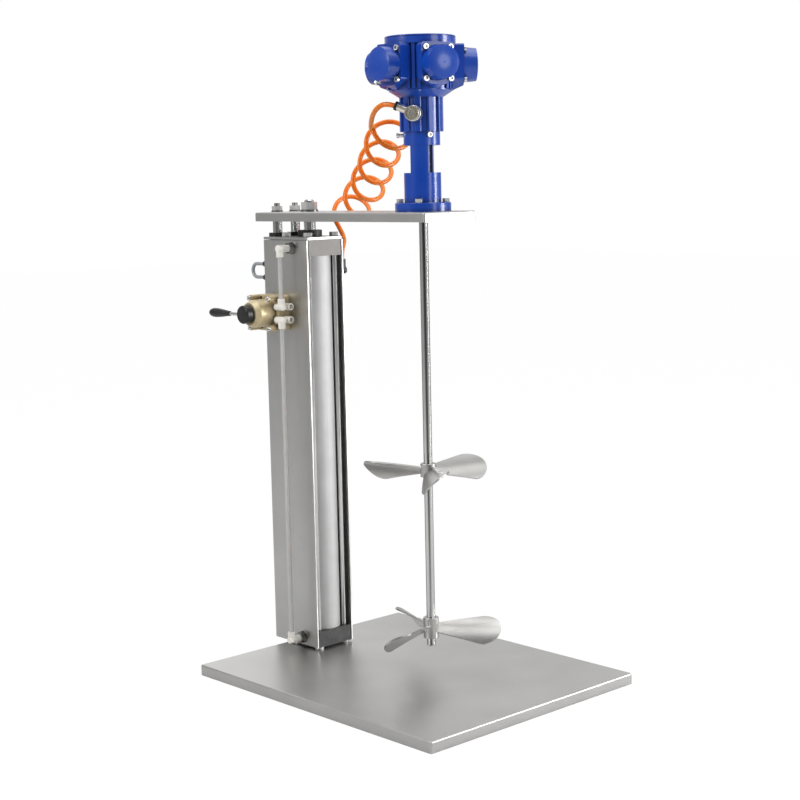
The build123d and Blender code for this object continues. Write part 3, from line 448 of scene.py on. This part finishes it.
def tube(name, points, radius, sides, material):
    """Closed round tube whose rings follow the points; returns the object."""
    mesh = bpy.data.meshes.new(name)
    work = bmesh.new()
    rings = []
    tangent = (points[1] - points[0]).normalized()
    normal = tangent.orthogonal().normalized()
    for index, point in enumerate(points):
        after = points[min(index + 1, len(points) - 1)]
        before = points[max(index - 1, 0)]
        tangent = (after - before).normalized()
        normal = (normal - tangent * normal.dot(tangent)).normalized()
        cross = tangent.cross(normal)
        ring = []
        for k in range(sides):
            turn = 2 * math.pi * k / sides
            ring.append(work.verts.new(point + (normal * math.cos(turn) + cross * math.sin(turn)) * radius))
        rings.append(ring)
    for one, two in zip(rings, rings[1:]):
        for k in range(sides):
            work.faces.new((one[k], one[(k + 1) % sides], two[(k + 1) % sides], two[k]))
    work.faces.new(list(reversed(rings[0])))
    work.faces.new(rings[-1])
    work.to_mesh(mesh)
    work.free()
    for face in mesh.polygons:
        face.use_smooth = len(face.vertices) == 4
    mesh.materials.append(material)
    thing = bpy.data.objects.new(name, mesh)
    scene.collection.objects.link(thing)
    return thing


def hose_line():
    """Centre line of the whole hose, from the motor's inlet to the elbow on the column."""
    entry = spline_points("lead_in_line", lead_in)
    turns = helix(spline_points("coil_axis_line", coil_axis))
    hanging = [tuple(turns[-1] / MM), *last_run]
    leaving = spline_points("lead_out_line", hanging)
    whole = evenly(entry[:-1] + turns + leaving[1:], EASING_STEP)
    return evenly(smooth(whole, EASING_ROUNDS), HOSE_RING_STEP)


def make_hose():
    """The coiled hose in place of the CAD tube."""
    centres = hose_line()
    hose = tube("coiled_hose", centres, HOSE_DIAMETER / 2, RING_SIDES, materials["hose_orange"])
    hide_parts("motor_hose")
    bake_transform(hose)


make_hose()

# ---- small trim ---------------------------------------------------------------------------


def lathe(name, profile, place, outward, material, ring=False, steps=64):
    """Turned piece: (radius, height) pairs in mm spun round a direction from a place.

    A ring joins its last pair to its first; any other piece is closed by flat ends."""
    turn = Vector(outward).to_track_quat("Z", "Y").to_matrix().to_4x4()
    frame_of = Matrix.Translation(Vector(place)) @ turn
    work = bmesh.new()
    rings = []
    for radius, height in profile:
        loop = []
        for k in range(steps):
            angle = 2 * math.pi * k / steps
            spot = Vector((radius * math.cos(angle), radius * math.sin(angle), height)) * MM
            loop.append(work.verts.new(frame_of @ spot))
        rings.append(loop)
    for one, two in zip(rings, rings[1:] + rings[:1] if ring else rings[1:]):
        for k in range(steps):
            work.faces.new((one[k], one[(k + 1) % steps], two[(k + 1) % steps], two[k]))
    if not ring:
        work.faces.new(list(reversed(rings[0])))
        work.faces.new(rings[-1])
    mesh = bpy.data.meshes.new(name)
    work.to_mesh(mesh)
    work.free()
    mesh.materials.append(material)
    thing = bpy.data.objects.new(name, mesh)
    scene.collection.objects.link(thing)
    return thing


INLET_ANGLE = math.radians(-59.5)
INLET_AXIS_FOOT = Vector((0.046, 0.0, 0.915))
INLET_HEX_TOP = 54.0 * MM
PISTON_ROD_AXIS = (-0.231, 0.0, 0.0)
# profiles in mm: radius, height
INLET_FACE = [(11.6, -1.6), (11.6, 0.8), (10.8, 1.6), (9.3, 1.6), (8.9, 0.2), (7.3, 0.2), (6.7, 1.8),
              (4.6, 1.8), (4.2, 0.3), (0.2, 0.3)]
GLAND_RING = [(20.0, 723.6), (20.35, 723.6), (20.35, 733.6), (19.8, 734.3), (11.4, 734.3), (11.0, 734.0)]


def make_trim():
    """Turned face of the hose inlet and the black gland ring round the piston rod."""
    outward = Vector((math.cos(INLET_ANGLE), math.sin(INLET_ANGLE), 0.0))
    hex_top = INLET_AXIS_FOOT + outward * INLET_HEX_TOP
    face = lathe("inlet_bolt_face", INLET_FACE, hex_top, outward, materials["nickel_brass"])
    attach(face, "carriage")
    gland = lathe("gland_ring", GLAND_RING, PISTON_ROD_AXIS, (0.0, 0.0, 1.0), materials["cap_black"],
                  ring=True)
    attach(gland, "frame")


make_trim()

# ---- stage and light ----------------------------------------------------------------------
FLOOR_REACH = 12.0
FLOOR_GREY = (0.62, 0.62, 0.62, 1)
FLOOR_GLOW = 1.04
FLOOR_GLOW_SHARE = 0.93
ROOM_STRENGTH = 0.95


def make_floor():
    """Pale floor that the camera sees nearly white, with its shadows still in it."""
    mesh = bpy.data.meshes.new("floor")
    half = FLOOR_REACH
    corners = [(-half, -half, 0), (half, -half, 0), (half, half, 0), (-half, half, 0)]
    mesh.from_pydata(corners, [], [(0, 1, 2, 3)])
    floor = bpy.data.objects.new("floor", mesh)
    scene.collection.objects.link(floor)
    material = bpy.data.materials.new("pale_floor")
    material.use_nodes = True
    tree = material.node_tree
    tree.nodes.clear()
    diffuse = tree.nodes.new("ShaderNodeBsdfDiffuse")
    diffuse.inputs["Color"].default_value = FLOOR_GREY
    white = tree.nodes.new("ShaderNodeEmission")
    white.inputs["Strength"].default_value = FLOOR_GLOW
    path = tree.nodes.new("ShaderNodeLightPath")
    weight = tree.nodes.new("ShaderNodeMath")
    weight.operation = "MULTIPLY"
    weight.inputs[1].default_value = FLOOR_GLOW_SHARE
    mix = tree.nodes.new("ShaderNodeMixShader")
    end = tree.nodes.new("ShaderNodeOutputMaterial")
    tree.links.new(path.outputs["Is Camera Ray"], weight.inputs[0])
    tree.links.new(weight.outputs[0], mix.inputs[0])
    tree.links.new(diffuse.outputs[0], mix.inputs[1])
    tree.links.new(white.outputs[0], mix.inputs[2])
    tree.links.new(mix.outputs[0], end.inputs[0])
    mesh.materials.append(material)


def ramp_node(tree, source, stops):
    """Grey levels by position along a ramp, driven by a node's output."""
    ramp = tree.nodes.new("ShaderNodeValToRGB")
    elements = ramp.color_ramp.elements
    while len(elements) < len(stops):
        elements.new(0.5)
    for element, (position, level) in zip(elements, stops):
        element.position = position
        element.color = (level, level, level, 1)
    tree.links.new(source, ramp.inputs["Fac"])
    return ramp.outputs["Color"]


# brightness of the room from its floor (0) to its ceiling (1)
room_height = [(0.0, 0.25), (0.45, 0.35), (0.55, 0.55), (0.8, 0.8), (1.0, 1.0)]
# and of its walls, by degrees round from +X towards +Y
room_walls = [(0, 0.75), (6, 0.9), (22, 0.35), (36, 0.6), (50, 1.7), (64, 1.7), (82, 0.3), (126, 1.3),
              (136, 0.75), (146, 2.1), (165, 1.0), (195, 0.45), (222, 0.6), (243, 0.8), (252, 0.8),
              (275, 0.3), (335, 0.22), (360, 0.75)]


def make_world():
    """White to the camera; for light and reflections a studio with bright and dark walls."""
    world = bpy.data.worlds.new("studio")
    world.use_nodes = True
    scene.world = world
    tree = world.node_tree
    tree.nodes.clear()
    place = tree.nodes.new("ShaderNodeTexCoord")
    split = tree.nodes.new("ShaderNodeSeparateXYZ")
    tree.links.new(place.outputs["Generated"], split.inputs[0])
    lift = tree.nodes.new("ShaderNodeMapRange")
    lift.inputs["From Min"].default_value = -1.0
    tree.links.new(split.outputs["Z"], lift.inputs["Value"])
    height = ramp_node(tree, lift.outputs["Result"], room_height)
    angle = tree.nodes.new("ShaderNodeMath")
    angle.operation = "ARCTAN2"
    tree.links.new(split.outputs["Y"], angle.inputs[0])
    tree.links.new(split.outputs["X"], angle.inputs[1])
    turn = tree.nodes.new("ShaderNodeMath")
    turn.operation = "MULTIPLY_ADD"
    turn.inputs[1].default_value = 1 / (2 * math.pi)
    turn.inputs[2].default_value = 1.0
    tree.links.new(angle.outputs[0], turn.inputs[0])
    around = tree.nodes.new("ShaderNodeMath")
    around.operation = "FRACT"
    tree.links.new(turn.outputs[0], around.inputs[0])
    walls = ramp_node(tree, around.outputs[0], [(degrees / 360.0, level) for degrees, level in room_walls])
    both = tree.nodes.new("ShaderNodeMix")
    both.data_type = "RGBA"
    both.blend_type = "MULTIPLY"
    both.inputs["Factor"].default_value = 1.0
    tree.links.new(height, both.inputs["A"])
    tree.links.new(walls, both.inputs["B"])
    room = tree.nodes.new("ShaderNodeBackground")
    room.inputs["Strength"].default_value = ROOM_STRENGTH
    tree.links.new(both.outputs["Result"], room.inputs["Color"])
    white = tree.nodes.new("ShaderNodeBackground")
    white.inputs["Color"].default_value = (1, 1, 1, 1)
    path = tree.nodes.new("ShaderNodeLightPath")
    mix = tree.nodes.new("ShaderNodeMixShader")
    end = tree.nodes.new("ShaderNodeOutputWorld")
    tree.links.new(path.outputs["Is Camera Ray"], mix.inputs[0])
    tree.links.new(room.outputs[0], mix.inputs[1])
    tree.links.new(white.outputs[0], mix.inputs[2])
    tree.links.new(mix.outputs[0], end.inputs[0])


def area_light(name, place, target, size, power, shape="RECTANGLE"):
    """Soft light at a place, aimed at a target."""
    data = bpy.data.lights.new(name, "AREA")
    data.shape = shape
    data.size, data.size_y = size
    data.energy = power
    lamp = bpy.data.objects.new(name, data)
    lamp.location = place
    aim = Vector(target) - Vector(place)
    lamp.rotation_euler = aim.to_track_quat("-Z", "Y").to_euler()
    scene.collection.objects.link(lamp)


make_floor()
make_world()
area_light("key", (-0.6, -2.4, 2.1), (0.0, 0.0, 0.6), (1.0, 1.6), 36.0)
area_light("right_panel", (2.0, 1.85, 0.75), (0.0, 0.0, 0.6), (0.7, 1.5), 35.0)
area_light("side_lamp", (2.9, 0.2, 1.2), (0.0, 0.0, 0.85), (1.1, 1.1), 8.0, "ELLIPSE")
area_light("overhead", (0.4, 0.0, 3.0), (0.0, 0.0, 0.0), (2.4, 2.4), 26.0)
